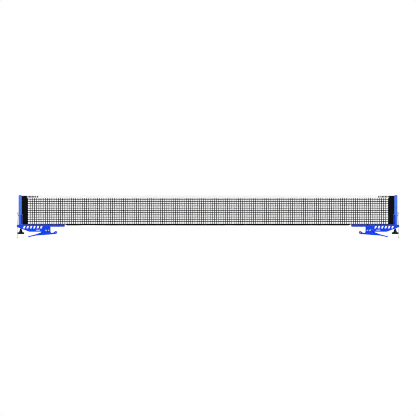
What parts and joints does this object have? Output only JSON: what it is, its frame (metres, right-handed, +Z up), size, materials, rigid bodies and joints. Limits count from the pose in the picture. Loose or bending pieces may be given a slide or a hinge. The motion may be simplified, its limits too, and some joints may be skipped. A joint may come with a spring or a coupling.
{
  "type": "table tennis net clamp set",
  "caption": "Pair of sprung steel table clamps with height-adjustable posts, holding a black net with a white top tape across a table tennis table.",
  "frame": {"origin": "middle of the net line at the level of the table top", "axes": "+X along the net, +Z up, +Y across the net away from the front side"},
  "size_m": [1.8532, 0.0389, 0.2092],
  "materials": {
    "blue_steel": "satin powder coat",
    "blue_post": "gloss powder coat",
    "steel": "zinc plated",
    "spring_steel": "oiled spring steel",
    "pad_rubber": "matt rubber",
    "cap_plastic": "moulded",
    "knob_plastic": "moulded, slight sheen",
    "brass": "turned",
    "net_cord": "knotted braid",
    "white_tape": "coated woven tape",
    "black_webbing": "woven",
    "cord": "braided",
    "chain": "nickel plated"
  },
  "bodies": {
    "clamp_frames": {"saddle_rivets": "steel", "pivot_pins": "steel", "stop_pins": "steel", "left_clamp_body": "blue_steel", "right_clamp_body": "blue_steel", "left_jaw_pad": "pad_rubber", "right_jaw_pad": "pad_rubber", "left_post_saddle": "blue_steel", "right_post_saddle": "blue_steel", "left_bearing_plate": "blue_steel", "right_bearing_plate": "blue_steel"},
    "left_lever": {"left_lever": "blue_steel", "left_roller_pin": "steel", "left_jaw_roller": "pad_rubber", "left_lever_spring": "spring_steel"},
    "right_lever": {"right_lever": "blue_steel", "right_roller_pin": "steel", "right_jaw_roller": "pad_rubber", "right_lever_spring": "spring_steel"},
    "left_adjuster": {"left_adjuster_knob": "knob_plastic", "left_adjuster_screw": "steel", "left_screw_clip": "spring_steel"},
    "right_adjuster": {"right_adjuster_knob": "knob_plastic", "right_adjuster_screw": "steel", "right_screw_clip": "spring_steel"},
    "net_and_posts": {"top_tape": "white_tape", "netting": "net_cord", "bottom_band": "black_webbing", "top_cord": "cord", "cord_crimps": "chain", "left_post": "blue_post", "right_post": "blue_post", "left_post_cap": "cap_plastic", "right_post_cap": "cap_plastic", "left_post_nut": "brass", "right_post_nut": "brass", "left_chain_lug": "steel", "right_chain_lug": "steel", "left_net_bar": "blue_steel", "right_net_bar": "blue_steel", "left_sleeve": "black_webbing", "right_sleeve": "black_webbing", "left_inner_chain": "chain", "right_inner_chain": "chain", "left_chain": "chain", "right_chain": "chain", "left_chain_end": "chain", "right_chain_end": "chain"}
  },
  "joints": [
    {"name": "left_lever_squeeze", "type": "hinge", "parent": "clamp_frames", "child": "left_lever", "pos_m": [-0.7842, 0, -0.0174], "axis": [0, 1, 0], "range_deg": [0, 15], "stiffness_Nm_per_rad": 3, "springref_deg": -20.05, "deforming": ["left_lever_spring"]},
    {"name": "right_lever_squeeze", "type": "hinge", "parent": "clamp_frames", "child": "right_lever", "pos_m": [0.7842, 0, -0.0174], "axis": [0, -1, 0], "range_deg": [0, 15], "stiffness_Nm_per_rad": 3, "springref_deg": -20.05, "deforming": ["right_lever_spring"]},
    {"name": "net_height", "type": "slide", "parent": "clamp_frames", "child": "net_and_posts", "axis": [0, 0, 1], "range_m": [0, 0.01]},
    {"name": "left_adjuster_turn", "type": "hinge", "parent": "clamp_frames", "child": "left_adjuster", "pos_m": [-0.9068, 0, -0.03], "axis": [0, 0, -1], "range_deg": [0, 3601]},
    {"name": "right_adjuster_turn", "type": "hinge", "parent": "clamp_frames", "child": "right_adjuster", "pos_m": [0.9068, 0, -0.03], "axis": [0, 0, -1], "range_deg": [0, 3601]}
  ],
  "couplings": [
    {"joint": "left_adjuster_turn", "follows": "net_height", "rad_per_m": 6283.2},
    {"joint": "right_adjuster_turn", "follows": "net_height", "rad_per_m": 6283.2}
  ]
}
